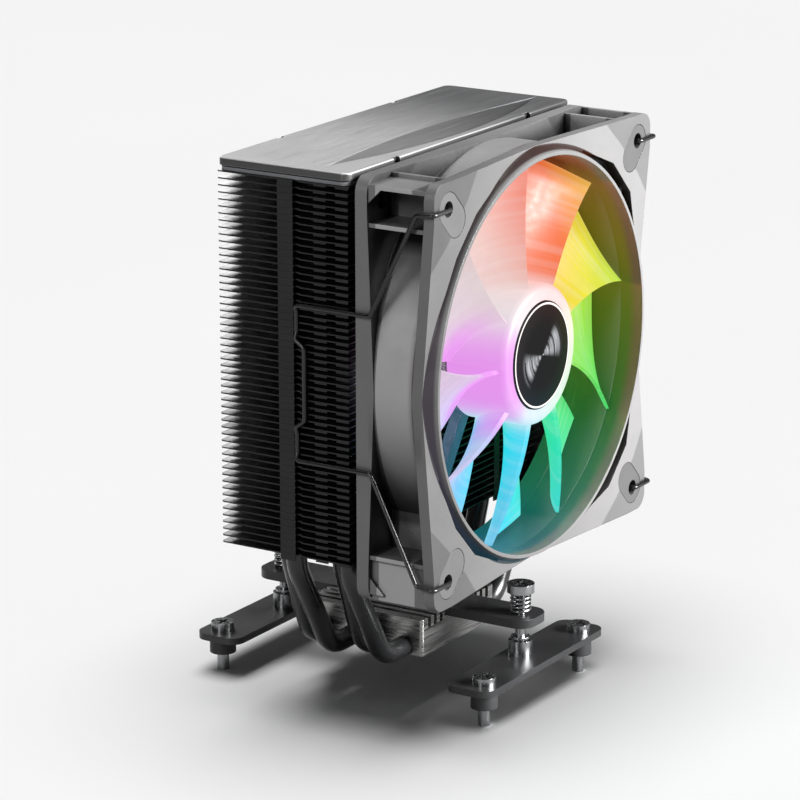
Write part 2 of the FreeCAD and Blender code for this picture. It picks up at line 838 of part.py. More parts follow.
def make_bracket(side, sign):
    """A bar that crosses the board's two holes on one side of the socket, with its threaded post."""
    body = new_body(f"bar_{side}")
    sketch = sketch_in(body, "XY_Plane")
    rectangle(sketch, "bar_length", "bar_width")
    pad(body, sketch, "bar_gauge")
    soften(body, "bar_corner", upright)
    holes = sketch_in(body, "XY_Plane", "bar_gauge")
    offset = f"{sign} * ( board_hole_y / 2 - bar_middle )"
    for way in ("-", "+"):
        disc(holes, "bar_hole", (f"0 {way} board_hole_x / 2", offset))
    disc(holes, "post_spigot + spigot_play", ("0", f"{sign} * ( screw_reach - bar_middle )"))
    pocket(body, holes, "bar_gauge")
    low = size("bar_top") - size("bar_gauge")
    keep(body, f"bracket_{side}", Placement(Vector(0, sign * size("bar_middle"), low), Rotation()))

    at = ("0", "0", "bar_top")
    collar = rod(f"post_collar_{side}", "post_radius", "post_top - bar_top", at)
    low = ("0", "0", "bar_top - bar_gauge")
    spigot = rod(f"post_spigot_{side}", "post_spigot", "bar_gauge", low)
    thread = rod(f"post_thread_{side}", "post_bore", "post_top - bar_top + bar_gauge", low)
    post = cut(f"post_{side}", join(f"post_blank_{side}", [collar, spigot]), [thread])
    keep(post, f"threaded_post_{side}", Placement(Vector(0, sign * size("screw_reach"), 0), Rotation()))


def make_board_hardware():
    """Spacers and screws that share the four board holes."""
    places = corners(size("board_hole_x"), size("board_hole_y"))
    low = "bar_top - bar_gauge - spacer_height"
    tube = rod("spacer_tube", "spacer_radius", "spacer_height", ("0", "0", low))
    bore = rod("spacer_bore", "bar_hole", "spacer_height", ("0", "0", low))
    keep(copies("spacer_set", cut("spacer", tube, [bore]), places), "board_spacers")

    shank = rod("stud_shank", "stud_radius", "bar_top - stud_tip", ("0", "0", "stud_tip"))
    neck = rod("stud_neck", "stud_neck_radius", "bar_gauge + spacer_height", ("0", "0", low))
    head = rod("stud_head", "stud_head_radius", "stud_head_height", ("0", "0", "bar_top"))
    top = "bar_top + stud_head_height"
    slots = cross_slot("stud_cross", "stud_slot_width", "stud_slot_length", "stud_slot_depth", top)
    screw = cut("stud_screw", join("stud_blank", [shank, neck, head]), slots)
    keep(copies("stud_set", screw, places), "board_screws")


# ---------------------------------------------------------------- fan frame

def facet_wedge(slope):
    """The space under the two planes that climb from a frame corner's flat bands to the middle of a side."""
    far = size("facet_reach")
    ridge = size("band_half") * math.sqrt(2)
    rise = slope * (far / math.sqrt(2) - size("band_half"))
    near = Vector(0, ridge, 0)
    left = Vector(ridge - far, far, 0)
    right = Vector(far - ridge, far, 0)
    crest = Vector(0, far, rise)
    faces = [
        Part.Face(Part.makePolygon([a, b, c, a]))
        for a, b, c in ((near, left, right), (near, right, crest), (near, crest, left), (left, crest, right))
    ]
    return Part.Solid(Part.Shell(faces))


def corner_opening():
    """The part of the front plate's opening that reaches past the barrel at one corner."""
    ring = size("barrel_radius") - size("opening_lap")
    half = size("band_half")
    reach = size("band_inner")
    diagonal = math.radians(45)
    spot_angle = math.atan2(half, reach)
    spot_reach = math.hypot(half, reach)
    touch = spot_angle + math.acos(ring / spot_reach)
    points = [
        Vector(r * math.cos(diagonal + a), r * math.sin(diagonal + a), -1)
        for r, a in ((ring, -touch), (spot_reach, -spot_angle), (spot_reach, spot_angle), (ring, touch))
    ]
    points = [Vector(0, 0, -1)] + points + [Vector(0, 0, -1)]
    return Part.Face(Part.makePolygon(points)).extrude(Vector(0, 0, size("fan_depth") / 2))


def diagonal_pad(radius, height):
    """A stadium-shaped pad: one end round a screw hole, the other towards the fan's centre."""
    spot = size("screw_spacing") / 2
    step = size("pad_length") / math.sqrt(2)
    out = Vector(spot, spot, 0)
    inner = Vector(spot - step, spot - step, 0)
    side = Vector(radius / math.sqrt(2), -radius / math.sqrt(2), 0)
    ahead = Vector(radius / math.sqrt(2), radius / math.sqrt(2), 0)
    edges = [
        Part.Arc(out + side, out + ahead, out - side).toShape(),
        Part.LineSegment(out - side, inner - side).toShape(),
        Part.Arc(inner - side, inner - ahead, inner + side).toShape(),
        Part.LineSegment(inner + side, out + side).toShape(),
    ]
    return Part.Face(Part.Wire(edges)).extrude(Vector(0, 0, height))


def frame_outline(name, depth, start):
    """The frame's square outline with rounded corners, from one depth on."""
    body = new_body(name)
    sketch = sketch_in(body, "XY_Plane")
    rectangle(sketch, "fan_side", "fan_side")
    pad(body, sketch, depth)
    soften(body, "fan_corner", upright)
    body.setExpression("Placement.Base.z", cell(start))
    return body


def frame_plates(quarter):
    """The front and rear plates, whose sides rise in flat facets from bands at the corners."""
    rear_gauge = size("plate_gauge") + size("rear_plate_extra")
    front_cut = facet_wedge(size("front_slope"))
    front_fill = facet_wedge(size("front_slope"))
    front_fill.translate(Vector(0, 0, size("plate_gauge")))
    rear_fill = facet_wedge(size("rear_slope"))
    rear_fill.rotate(Vector(0, 0, 0), Vector(0, 1, 0), 180)
    rear_fill.translate(Vector(0, 0, size("fan_depth") - rear_gauge))

    front_outline = frame_outline("front_outline", "plate_gauge", "0")
    rear_outline = frame_outline(
        "rear_outline", "plate_gauge + rear_plate_extra", "fan_depth - plate_gauge - rear_plate_extra"
    )
    whole_outline = frame_outline("whole_outline", "fan_depth", "0")
    front_fills = copies("front_fills", plain("front_fill", front_fill), quarter)
    rear_fills = copies("rear_fills", plain("rear_fill", rear_fill), quarter)
    front_trim = overlap("front_fills_trimmed", whole_outline, front_fills)
    rear_trim = overlap("rear_fills_trimmed", whole_outline, rear_fills)
    front_full = join("front_plate_full", [front_outline, front_trim])
    rear_full = join("rear_plate_full", [rear_outline, rear_trim])
    openings = [
        rod("front_plate_bore", "barrel_radius - plate_lap", "fan_depth", ("0", "0", "-1")),
        copies("corner_openings", plain("corner_opening", corner_opening()), quarter),
        copies("front_cuts", plain("front_cut", front_cut), quarter),
    ]
    front = cut("front_plate", front_full, openings)
    rear = cut("rear_plate", rear_full, [rod("rear_plate_bore", "barrel_radius - plate_lap", "fan_depth")])
    return front, rear


def frame_webs(quarter):
    """Upright ribs that tie the two plates together at each corner, with a brace behind the rear ones."""
    inner, outer = size("web_inner"), size("web_outer")
    start, end, thick = size("web_start"), size("web_end"), size("web_gauge")
    bottom = size("plate_gauge") - size("plate_lap")
    height = size("fan_depth") - 2 * bottom
    webs = []
    for place in quarter:
        shapes = [
            Part.makeBox(end - start, thick, height, Vector(start, inner - thick / 2, bottom)),
            Part.makeBox(thick, end - inner, height, Vector(inner - thick / 2, inner, bottom)),
            Part.makeBox(end - inner, thick, height, Vector(inner, outer - thick / 2, bottom)),
        ]
        webs.extend(shape.transformed(place.toMatrix()) for shape in shapes)
    leg = size("brace_size")
    rear_face = size("fan_depth") - bottom
    corner = Vector(end - thick, outer, rear_face)
    brace_edge = Part.makePolygon([corner, corner - Vector(0, leg, 0), corner - Vector(0, 0, leg), corner])
    brace = Part.Face(brace_edge).extrude(Vector(thick, 0, 0))
    mirror = brace.mirror(Vector(0, 0, 0), Vector(0, 1, 0))
    for place in turns(2):
        webs.extend(shape.transformed(place.toMatrix()) for shape in (brace, mirror))
    return plain("corner_webs", webs[0].multiFuse(webs[1:]).removeSplitter())


def motor_mount():
    """The four skewed struts, the disc that they carry and the tube that holds the bearing."""
    width, root = size("strut_width"), size("strut_root")
    strut = Part.makeBox(
        size("lip_radius") - root,
        width,
        size("strut_depth"),
        Vector(root, -width / 2, size("fan_depth") - size("strut_depth")),
    )
    strut.rotate(Vector(root, 0, 0), Vector(0, 0, 1), size("strut_skew"))
    struts = copies("struts_long", plain("strut", strut), turns(4, size("strut_start")))
    return [
        overlap("struts", rod("strut_limit", "barrel_radius - plate_lap", "fan_depth"), struts),
        rod("mount_disc", "mount_disc", "mount_disc_depth", ("0", "0", "fan_depth - mount_disc_depth")),
        rod("bearing_tube", "tube_radius", "fan_depth - tube_front", ("0", "0", "tube_front")),
        rod("board_shelf", "board_shelf", "board_shelf_gauge", ("0", "0", "board_front + board_gauge")),
    ]


def make_frame():
    """The square frame, in three rings that meet face to face: bezel, duct and rear frame."""
    quarter = turns(4)
    lip = taper("barrel_lip", "lip_radius", "barrel_radius", "lip_depth")
    wall = rod("barrel_wall", "barrel_radius", "fan_depth - lip_depth", ("0", "0", "lip_depth"))
    shell = cut("barrel", join("barrel_blank", [lip, wall]), [rod("barrel_bore", "fan_bore", "fan_depth")])
    blank = join("frame_blank", [*frame_plates(quarter), shell, frame_webs(quarter), *motor_mount()])

    depth, recess_depth = size("fan_depth"), size("pad_recess")
    recess = diagonal_pad(size("pad_radius") + size("pad_play"), recess_depth + 1)
    rear_recess = recess.translated(Vector(0, 0, depth - recess_depth))
    recess.translate(Vector(0, 0, -1))
    tools = [
        copies("front_recesses", plain("front_recess", recess), quarter),
        copies("rear_recesses", plain("rear_recess", rear_recess), quarter),
        copies(
            "screw_holes",
            rod("screw_hole_tool", "frame_hole", "fan_depth + 2", ("0", "0", "-1")),
            corners(size("screw_spacing"), size("screw_spacing")),
        ),
        rod(
            "tube_bore",
            "sleeve_radius + sleeve_play",
            "tube_end - tube_front + 1",
            ("0", "0", "tube_front - 1"),
        ),
        rod(
            "label_seat",
            "label_radius + label_play",
            "label_recess + 1",
            ("0", "0", "fan_depth - label_recess"),
        ),
        block(
            "cable_notch",
            ("notch_width", "notch_width", "notch_depth + 1"),
            ("notch_start", "fan_side / 2 - notch_width + 1", "fan_depth - notch_depth"),
        ),
    ]
    frame = cut("frame", blank, tools)
    slab = ("fan_side + 2", "fan_side + 2")
    corner = ("- fan_side / 2 - 1", "- fan_side / 2 - 1")
    bezel_zone = block("bezel_zone", (*slab, "front_part_depth + 1"), (*corner, "-1"))
    rear_zone = join(
        "rear_zone",
        [
            block("rear_slab", (*slab, "fan_depth - rear_part_front + 1"), (*corner, "rear_part_front")),
            rod("tube_zone", "mount_disc", "fan_depth", ("0", "0", "front_part_depth")),
        ],
    )
    keep(overlap("bezel", frame, bezel_zone), "fan_bezel", IN_FAN)
    keep(overlap("rear_ring", frame, rear_zone), "fan_rear_frame", IN_FAN)
    keep(cut("duct", frame, [bezel_zone, rear_zone]), "fan_duct", IN_FAN)


def make_pads():
    depth, spot, lift = size("fan_depth"), size("screw_spacing") / 2, size("pad_lift")
    bore = Part.makeCylinder(size("frame_hole"), depth, Vector(spot, spot, -depth / 2))
    front = diagonal_pad(size("pad_radius"), size("pad_recess") - lift)
    rear = diagonal_pad(size("pad_radius"), size("pad_recess") + size("fan_gap") - 2 * lift)
    rear.translate(Vector(0, 0, depth - size("pad_recess") + lift))
    bore_rear = bore.translated(Vector(0, 0, depth))
    for label, shape in (("front_pads", front.cut(bore)), ("rear_pads", rear.cut(bore_rear))):
        keep(copies(f"{label}_set", plain(f"{label}_one", shape), turns(4)), label, IN_FAN)
    pieces["front_pads"].Placement = IN_FAN.multiply(Placement(Vector(0, 0, lift), Rotation()))


# ---------------------------------------------------------------- rotor

BLADE_STATIONS = (
    # radius, sweep in degrees, tangential run, rise along the axis, thickness
    (15.0, 0.0, 10.0, 16.5, 2.0),
    (28.0, 3.0, 18.0, 15.0, 1.8),
    (42.0, 8.0, 27.0, 12.5, 1.5),
    (58.0, 15.0, 36.5, 9.5, 1.3),
)


def blade_section(radius, sweep, run, rise, thickness):
    """A cambered section that climbs from the front edge to the rear edge at one radius."""
    middle = (size("blade_front") + size("blade_rear")) / 2
    length = math.hypot(run, rise)
    across = Vector(0, rise / length, run / length)
    camber = size("blade_camber") * length

    def spot(along, offset):
        point = Vector(radius, run * (along - 0.5), middle - rise * (along - 0.5))
        return point + across * offset

    edge = size("blade_edge") * thickness
    peak = size("blade_peak")
    upper = Part.Arc(spot(0, edge), spot(peak, camber + thickness / 2), spot(1, edge)).toShape()
    lower = Part.Arc(spot(1, -edge), spot(peak, camber - thickness / 2), spot(0, -edge)).toShape()
    ends = [
        Part.LineSegment(spot(1, edge), spot(1, -edge)).toShape(),
        Part.LineSegment(spot(0, -edge), spot(0, edge)).toShape(),
    ]
    wire = Part.Wire([upper, ends[0], lower, ends[1]])
    wire.rotate(Vector(0, 0, 0), Vector(0, 0, 1), sweep)
    return wire


def make_impeller():
    blade = Part.makeLoft([blade_section(*station) for station in BLADE_STATIONS], True, False)
    if blade.Volume < 0:
        blade.reverse()
    blades = copies("blades_long", plain("blade", blade), turns(int(size("blade_count"))))
    limit = rod("blade_limit", "blade_tip", "blade_rear - blade_front", ("0", "0", "blade_front"))
    trimmed = overlap("blades_trimmed", limit, blades)
    hub = new_body("hub")
    sketch = sketch_in(hub, "XY_Plane")
    disc(sketch, "hub_radius")
    pad(hub, sketch, "hub_rear - hub_front")
    soften(hub, "hub_edge", level_at(0))
    hub.setExpression("Placement.Base.z", cell("hub_front"))
    hollows = [
        rod("hub_hollow", "hub_radius - hub_wall", "hub_rear", ("0", "0", "hub_floor")),
        rod("hub_seat", "disc_recess", "disc_seat - hub_front + 1", ("0", "0", "hub_front - 1")),
    ]
    keep(cut("impeller_cut", join("impeller_blank", [hub, trimmed]), hollows), "impeller", IN_FAN)

    cap = turned(
        "cap",
        [
            ("0", "disc_front"),
            ("disc_radius - disc_bevel", "disc_front"),
            ("disc_radius", "disc_front + disc_bevel"),
            ("disc_radius", "disc_seat"),
            ("0", "disc_seat"),
        ],
    )
    keep(cap, "hub_cap", IN_FAN)

    yoke = turned(
        "yoke",
        [
            ("shaft_radius + yoke_play", "yoke_front"),
            ("yoke_radius", "yoke_front"),
            ("yoke_radius", "yoke_rear"),
            ("yoke_radius - yoke_gauge", "yoke_rear"),
            ("yoke_radius - yoke_gauge", "yoke_front + yoke_gauge"),
            ("yoke_boss", "yoke_front + yoke_gauge"),
            ("yoke_boss", "yoke_boss_rear"),
            ("shaft_radius + yoke_play", "yoke_boss_rear"),
        ],
    )
    keep(yoke, "rotor_yoke", IN_FAN)

    magnet = turned(
        "magnet",
        [
            ("magnet_inner", "magnet_front"),
            ("magnet_outer", "magnet_front"),
            ("magnet_outer", "magnet_rear"),
            ("magnet_inner", "magnet_rear"),
        ],
    )
    keep(magnet, "rotor_magnet", IN_FAN)

    shaft = turned(
        "shaft",
        [
            ("0", "yoke_front"),
            ("shaft_radius", "yoke_front"),
            ("shaft_radius", "shaft_neck"),
            ("shaft_neck_radius", "shaft_neck"),
            ("shaft_neck_radius", "shaft_neck_end"),
            ("shaft_radius", "shaft_neck_end"),
            ("shaft_radius", "shaft_rear - shaft_bevel"),
            ("shaft_radius - shaft_bevel", "shaft_rear"),
            ("0", "shaft_rear"),
        ],
    )
    keep(shaft, "rotor_shaft", IN_FAN)

    at = ("0", "0", "shaft_neck + ring_play")
    ring = rod("shaft_ring_disc", "shaft_ring_radius", "shaft_ring_gauge", at)
    hole = rod("shaft_ring_hole", "shaft_neck_radius + ring_play", "shaft_ring_gauge", at)
    mouth = block(
        "shaft_ring_mouth",
        ("shaft_ring_radius + 1", "shaft_ring_mouth", "shaft_ring_gauge"),
        ("0", "- shaft_ring_mouth / 2", "shaft_neck + ring_play"),
    )
    keep(cut("shaft_ring_cut", ring, [hole, mouth]), "shaft_ring", IN_FAN)


# ---------------------------------------------------------------- bearing, stator and electronics

def make_motor():
    sleeve = turned(
        "sleeve",
        [
            ("sleeve_bore", "sleeve_front"),
            ("sleeve_radius", "sleeve_front"),
            ("sleeve_radius", "sleeve_rear"),
            ("sleeve_bore", "sleeve_rear"),
        ],
    )
    keep(sleeve, "bearing_sleeve", IN_FAN)
    seal = turned(
        "seal",
        [
            ("seal_bore", "tube_front + seal_play"),
            ("sleeve_radius", "tube_front + seal_play"),
            ("sleeve_radius", "sleeve_front"),
            ("seal_bore", "sleeve_front"),
        ],
    )
    keep(seal, "oil_seal", IN_FAN)

    core_ring = rod("core_ring", "core_ring", "core_height", ("0", "0", "core_front"))
    shoes = cut(
        "core_shoes",
        rod("core_rim", "core_radius", "core_height", ("0", "0", "core_front")),
        [rod("core_rim_bore", "core_shoe", "core_height", ("0", "0", "core_front"))],
    )
    arms = [
        block(
            f"core_arm_{k}",
            (width, depth, "core_height"),
            (f"- ( {width} ) / 2", f"- ( {depth} ) / 2", "core_front"),
        )
        for k, (width, depth) in enumerate((("core_span", "core_arm"), ("core_arm", "core_span")))
    ]
    slot = Part.makeBox(
        size("core_radius"),
        size("core_slot"),
        size("core_height") + 2,
        Vector(size("core_ring") + 1, -size("core_slot") / 2, size("core_front") - 1),
    )
    slots = copies("core_slots", plain("core_slot", slot), turns(4, 45.0))
    bore = rod("core_bore", "core_bore", "core_height", ("0", "0", "core_front"))
    keep(cut("core", join("core_blank", [core_ring, shoes] + arms), [slots, bore]), "stator_core", IN_FAN)

    over = size("coil_over")
    high = size("core_height") + 2 * over
    winding = Part.makeBox(
        size("coil_length"),
        size("coil_width"),
        high,
        Vector(size("coil_start"), -size("coil_width") / 2, size("core_front") - over),
    )
    long_edges = [edge for edge in winding.Edges if edge.BoundBox.XLength > 1]
    winding = winding.makeFillet(size("coil_round"), long_edges)
    play = size("coil_play")
    arm_space = Part.makeBox(
        size("coil_length") + 2,
        size("core_arm") + 2 * play,
        size("core_height") + 2 * play,
        Vector(size("coil_start") - 1, -size("core_arm") / 2 - play, size("core_front") - play),
    )
    keep(copies("coils", plain("coil", winding.cut(arm_space)), turns(4)), "stator_coils", IN_FAN)

    board = turned(
        "board",
        [
            ("core_bore", "board_front"),
            ("board_radius", "board_front"),
            ("board_radius", "board_front + board_gauge"),
            ("core_bore", "board_front + board_gauge"),
        ],
    )
    keep(board, "circuit_board", IN_FAN)
    lamp = Part.makeBox(
        size("lamp_size"),
        size("lamp_size"),
        size("lamp_height"),
        Vector(
            size("lamp_circle") - size("lamp_size") / 2,
            -size("lamp_size") / 2,
            size("board_front") - size("lamp_height"),
        ),
    )
    keep(copies("lamps", plain("lamp", lamp), turns(int(size("lamp_count")))), "light_emitters", IN_FAN)
    sticker = turned(
        "sticker",
        [
            ("0", "fan_depth - label_recess"),
            ("label_radius", "fan_depth - label_recess"),
            ("label_radius", "fan_depth - label_recess + label_gauge"),
            ("0", "fan_depth - label_recess + label_gauge"),
        ],
    )
    keep(sticker, "rear_label", IN_FAN)


# ---------------------------------------------------------------- fan clips

def make_clip(side, sign):
    """A spring-wire clip: hooked into two frame holes, back round the frame and into the fin grooves."""
    edge = size("wire_side")
    hole = size("screw_spacing") / 2
    groove = FAN_FRONT * -1 + size("groove_middle")
    grip = groove - size("wire_grip_offset")
    lap = size("wire_lap")
    half = [
        (hole, size("wire_hook"), hole),
        (hole, -lap, hole),
        (edge, -lap, hole),
        (edge, size("wire_lead"), hole - size("wire_drop")),
        (edge, size("wire_knee_depth"), size("wire_knee")),
        (edge, groove, size("wire_knee")),
        (size("wire_seat"), groove, size("wire_knee") - size("wire_step")),
        (size("wire_seat"), groove, size("wire_grip") + size("wire_step")),
        (edge, groove, size("wire_grip")),
        (edge, grip, size("wire_grip") - size("wire_step")),
    ]
    points = [Vector(sign * x, y, z) for x, y, z in half]
    points += [Vector(sign * x, y, -z) for x, y, z in reversed(half)]
    tight = [size("wire_tight_bend")] * 2
    bends = tight + [size("wire_bend")] * (len(points) - 6) + tight
    wire = tube_along(bent_path(points, bends), size("wire_radius"))
    place = Placement(Vector(0, FAN_FRONT, size("fan_height")), Rotation())
    keep(plain(f"clip_wire_{side}", wire), f"fan_clip_{side}", place)


# ---------------------------------------------------------------- the whole object

make_cold_plate()
for pipe_label, pipe_values in PIPES.items():
    make_heat_pipe(pipe_label, *pipe_values)
make_fins()
make_cover()
make_bridge()
for screw_side, screw_sign in (("front", -1), ("rear", 1)):
    make_spring_screw(screw_side, screw_sign)
    make_bracket(screw_side, screw_sign)
make_board_hardware()
make_frame()
make_pads()
make_impeller()
make_motor()
for clip_side, clip_sign in (("left", -1), ("right", 1)):
    make_clip(clip_side, clip_sign)

doc.recompute()
for item in doc.Objects:
    if "Invalid" in item.State or "Error" in item.State:
        raise RuntimeError(f"{item.Label} failed to build: {item.State}")
for label, item in pieces.items():
    if item.Shape.isNull() or not item.Shape.isValid() or item.Shape.Volume <= 0:
        raise RuntimeError(f"{label} has no valid shape")

os.makedirs("parts", exist_ok=True)
for label, item in pieces.items():
    item.Shape.exportStep(f"parts/{label}.step")
    box = item.Shape.BoundBox
    print(
        f"{label:18s} solids {len(item.Shape.Solids):3d}  volume {item.Shape.Volume:10.1f}  "
        f"x {box.XMin:7.2f} {box.XMax:7.2f}  "
        f"y {box.YMin:7.2f} {box.YMax:7.2f}  z {box.ZMin:7.2f} {box.ZMax:7.2f}"
    )
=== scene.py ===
import json
import math

import bmesh
import bpy
from mathutils import Matrix, Vector


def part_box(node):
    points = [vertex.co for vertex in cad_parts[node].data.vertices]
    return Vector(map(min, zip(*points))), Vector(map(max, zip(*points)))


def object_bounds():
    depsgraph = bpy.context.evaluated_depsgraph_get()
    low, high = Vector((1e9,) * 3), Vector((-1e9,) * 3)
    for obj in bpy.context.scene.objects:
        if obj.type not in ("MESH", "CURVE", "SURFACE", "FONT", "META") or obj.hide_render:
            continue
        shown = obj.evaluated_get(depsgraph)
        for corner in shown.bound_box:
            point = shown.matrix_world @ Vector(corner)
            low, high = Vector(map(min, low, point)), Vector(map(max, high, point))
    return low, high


# Looks of a CPU tower cooler with a lit 120 mm fan, in metres and in the frame of its CAD model.

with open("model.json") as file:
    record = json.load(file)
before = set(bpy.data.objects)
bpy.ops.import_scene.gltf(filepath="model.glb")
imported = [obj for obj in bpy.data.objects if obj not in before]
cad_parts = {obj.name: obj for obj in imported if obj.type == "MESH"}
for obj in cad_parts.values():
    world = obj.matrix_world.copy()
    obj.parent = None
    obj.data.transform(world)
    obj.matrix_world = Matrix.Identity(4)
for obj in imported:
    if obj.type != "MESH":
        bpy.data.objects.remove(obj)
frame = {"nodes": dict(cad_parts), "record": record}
cad_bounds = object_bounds()
NODES = frame["nodes"]
MM = 0.001

# The camera: where it stands, its lens and sensor in millimetres, how far above the object's middle
# it looks, and how far it leans.
EYE = Vector((-0.904, -0.568, 0.370))
LENS_LENGTH = 172
SENSOR_WIDTH = 36
AIM_LIFT = 1 * MM
LEAN = math.radians(-0.1)
# Faces that meet at less than this are shaded as one round face.
SMOOTH_ANGLE = math.radians(24)
# The fan's lamps: how many, how far out across and up, how far behind the front, their radius and power.
LAMP_COUNT = 10
LAMP_REACH = (27 * MM, 26 * MM)
LAMP_DEPTH = 18.5 * MM
LAMP_SIZE = 2.5 * MM
LAMP_POWER = 0.1
# The world is white to the eye and dim to everything else.
WORLD_SEEN = 1.0
WORLD_LIGHT = 0.09
# The floor's half width, and the sun that lights the floor alone.
FLOOR_REACH = 6
FLOOR_SUN = 3.2
FLOOR_SUN_ANGLE = math.radians(50)

# The fan's own axis: it runs along Y through this point on the front face, and X is to the right.
bezel_low, bezel_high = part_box("fan_bezel")
FAN_CENTRE = Vector((0, bezel_low.y, (bezel_low.z + bezel_high.z) / 2))
FLOOR = cad_bounds[0].z


# ---------------------------------------------------------------- materials

class Finish:
    """A procedural material, built round its Principled shader.

    Positions are the CAD frame's own, in metres.
    """

    def __init__(self, name, constants):
        self.material = bpy.data.materials.new(name)
        self.material.use_nodes = True
        self.tree = self.material.node_tree
        self.shader = self.tree.nodes["Principled BSDF"]
        for socket, value in constants.items():
            self.shader.inputs[socket].default_value = value
        self.place = self.add("TexCoord").outputs["Object"]

    def plug(self, socket, value):
        if isinstance(value, bpy.types.NodeSocket):
            self.tree.links.new(value, socket)
        else:
            socket.default_value = value

    def add(self, kind, inputs=None, **settings):
        made = self.tree.nodes.new("ShaderNode" + kind)
        for setting, value in settings.items():
            setattr(made, setting, value)
        for socket, value in (inputs or {}).items():
            self.plug(made.inputs[socket], value)
        return made

    def wear(self, socket, value):
        """Gives the shader's socket a value or a texture."""
        self.plug(self.shader.inputs[socket], value)

    def calc(self, operation, first, second=0.0, clamp=False):
        return self.add("Math", {0: first, 1: second}, operation=operation, use_clamp=clamp).outputs[0]

    def spread(self, value, low, high, to_low=0.0, to_high=1.0):
        """Maps low..high of a value smoothly to to_low..to_high."""
        inputs = {"Value": value, "From Min": low, "From Max": high, "To Min": to_low, "To Max": to_high}
        return self.add("MapRange", inputs, interpolation_type="SMOOTHSTEP").outputs["Result"]

    def mix(self, factor, first, second):
        made = self.add("Mix", data_type="RGBA")
        self.plug(made.inputs[0], factor)
        self.plug(made.inputs[6], first)
        self.plug(made.inputs[7], second)
        return made.outputs[2]

    def stretched(self, stretch):
        return self.add("Mapping", {"Vector": self.place, "Scale": stretch}).outputs["Vector"]

    def noise(self, scale, detail=3.0, stretch=(1, 1, 1)):
        """Noise from 0 to 1, with scale features to the metre."""
        inputs = {"Vector": self.stretched(stretch), "Scale": scale, "Detail": detail}
        return self.add("TexNoise", inputs).outputs["Fac"]

    def product(self, first, second):
        return self.calc("MULTIPLY", first, second)

    def along(self, name):
        """The place along the object's own X, Y or Z."""
        return self.add("SeparateXYZ", {"Vector": self.place}).outputs[name]

    def slope(self, name):
        """How far the face looks along X, Y or Z, from -1 to 1."""
        true = self.add("NewGeometry").outputs["True Normal"]
        return self.add("SeparateXYZ", {"Vector": true}).outputs[name]

    def from_fan(self):
        """How far to the right, back and up from the middle of the fan's front face."""
        shifted = self.add("VectorMath", {0: self.place, 1: FAN_CENTRE}, operation="SUBTRACT").outputs[0]
        return self.add("SeparateXYZ", {"Vector": shifted}).outputs

    def around_fan(self):
        """Distance from the fan's axis, and the turn round it from 0 to 1 anticlockwise from the left."""
        x, _, z = self.from_fan()
        squares = self.calc("ADD", self.product(x, x), self.product(z, z))
        angle = self.calc("ARCTAN2", z, x)
        turn = self.calc("ADD", self.calc("DIVIDE", angle, 2 * math.pi), 0.5)
        return self.calc("SQRT", squares), turn

    def arcs(self, first, second, detail):
        """Noise over two values: arcs round the fan's axis, where they are a distance and a turn."""
        drawn = self.add("CombineXYZ", {"X": first, "Y": second}).outputs[0]
        return self.add("TexNoise", {"Vector": drawn, "Scale": 1.0, "Detail": detail}).outputs["Fac"]

    def bands(self, scale, distortion=0.0):
        """Even waves along Y."""
        inputs = {"Vector": self.place, "Scale": scale, "Distortion": distortion}
        return self.add("TexWave", inputs, wave_type="BANDS", bands_direction="Y").outputs["Fac"]

    def ramp(self, factor, stops):
        """A colour ramp through (place, colour) stops."""
        made = self.add("ValToRGB", {"Fac": factor})
        elements = made.color_ramp.elements
        while len(elements) < len(stops):
            elements.new(0.5)
        for element, (spot, colour) in zip(elements, stops):
            element.position = spot
            element.color = (*colour, 1)
        return made.outputs["Color"]

    def rounded(self, radius):
        """The surface's normal with its sharp edges rounded off."""
        return self.add("Bevel", {"Radius": radius}, samples=4).outputs["Normal"]

    def edges(self, normal, gain):
        """1 along outer edges, where the rounded normal leaves the true one, and 0 on the flats."""
        true = self.add("NewGeometry").outputs["True Normal"]
        dot = self.add("VectorMath", {0: normal, 1: true}, operation="DOT_PRODUCT").outputs["Value"]
        return self.calc("MULTIPLY", self.calc("SUBTRACT", 1.0, dot), gain, clamp=True)

    def pockets(self, reach):
        """Where shade is painted: 1 deep inside pockets and gaps about as narrow as the reach, and 0 in the
        open.
        """
        open_sky = self.add("AmbientOcclusion", {"Distance": reach}, samples=6).outputs["AO"]
        return self.spread(open_sky, 0.74, 0.34)

    def relief(self, height, depth, normal=None):
        """Bumps of the given depth in metres, on top of the rounded normal."""
        inputs = {"Height": height, "Distance": depth, "Strength": 1.0}
        if normal is not None:
            inputs["Normal"] = normal
        self.wear("Normal", self.add("Bump", inputs).outputs["Normal"])


def grey(value, tint=(1, 1, 1)):
    return (value * tint[0], value * tint[1], value * tint[2], 1)


COOL = (0.97, 0.99, 1.05)
WARM = (1.04, 1.0, 0.96)


